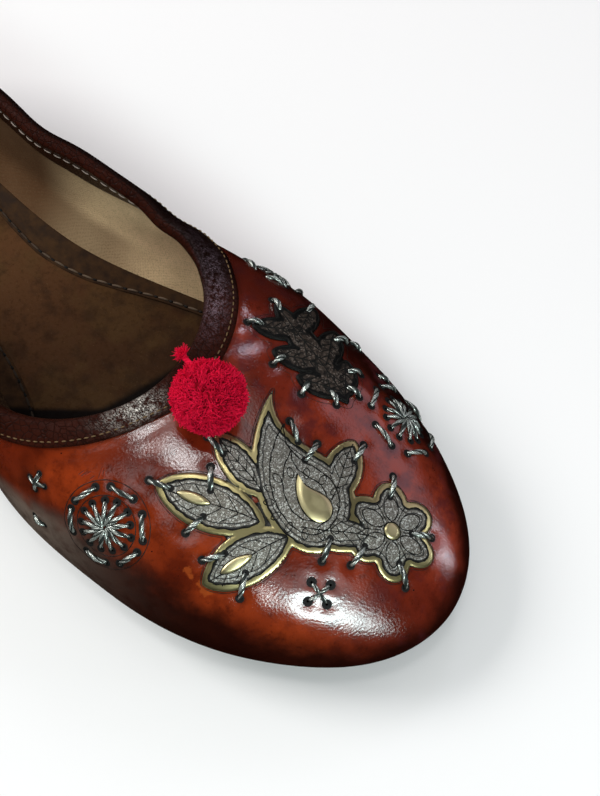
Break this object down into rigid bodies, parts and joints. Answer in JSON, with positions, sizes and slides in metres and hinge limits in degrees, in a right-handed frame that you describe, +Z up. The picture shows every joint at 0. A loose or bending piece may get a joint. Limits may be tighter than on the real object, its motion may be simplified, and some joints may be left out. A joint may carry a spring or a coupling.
{
  "type": "ballet flat",
  "caption": "Slip-on leather flat with a round toe, a deep throat, a bound topline, a low heel lift, appliqué patches and a wool pompom on the vamp.",
  "frame": {"origin": "on the floor, under the middle of the bounding box", "axes": "+X towards the toe, +Y towards the wearer's left, which is the medial side of this right shoe, +Z up"},
  "size_m": [0.2477, 0.0889, 0.0643],
  "materials": {
    "upper_leather": "glossy burnished tan-brown, darker at the edges",
    "binding_leather": "dark brown with a worn metallic sheen",
    "sole_leather": "natural vegetable-tanned, burnished dark at the edge",
    "insole_leather": "matt dark brown, worn and mottled",
    "gold_applique": "gold foil with a silver-brown glitter fill",
    "dark_applique": "black-brown glitter",
    "wool": "matt cut red wool"
  },
  "bodies": {
    "root": {"upper": "upper_leather", "topline_binding": "binding_leather", "outsole": "sole_leather", "heel_lift": "sole_leather", "insole": "insole_leather", "patch_gold": "gold_applique", "patch_dark": "dark_applique", "pompom": "wool"}
  },
  "joints": []
}
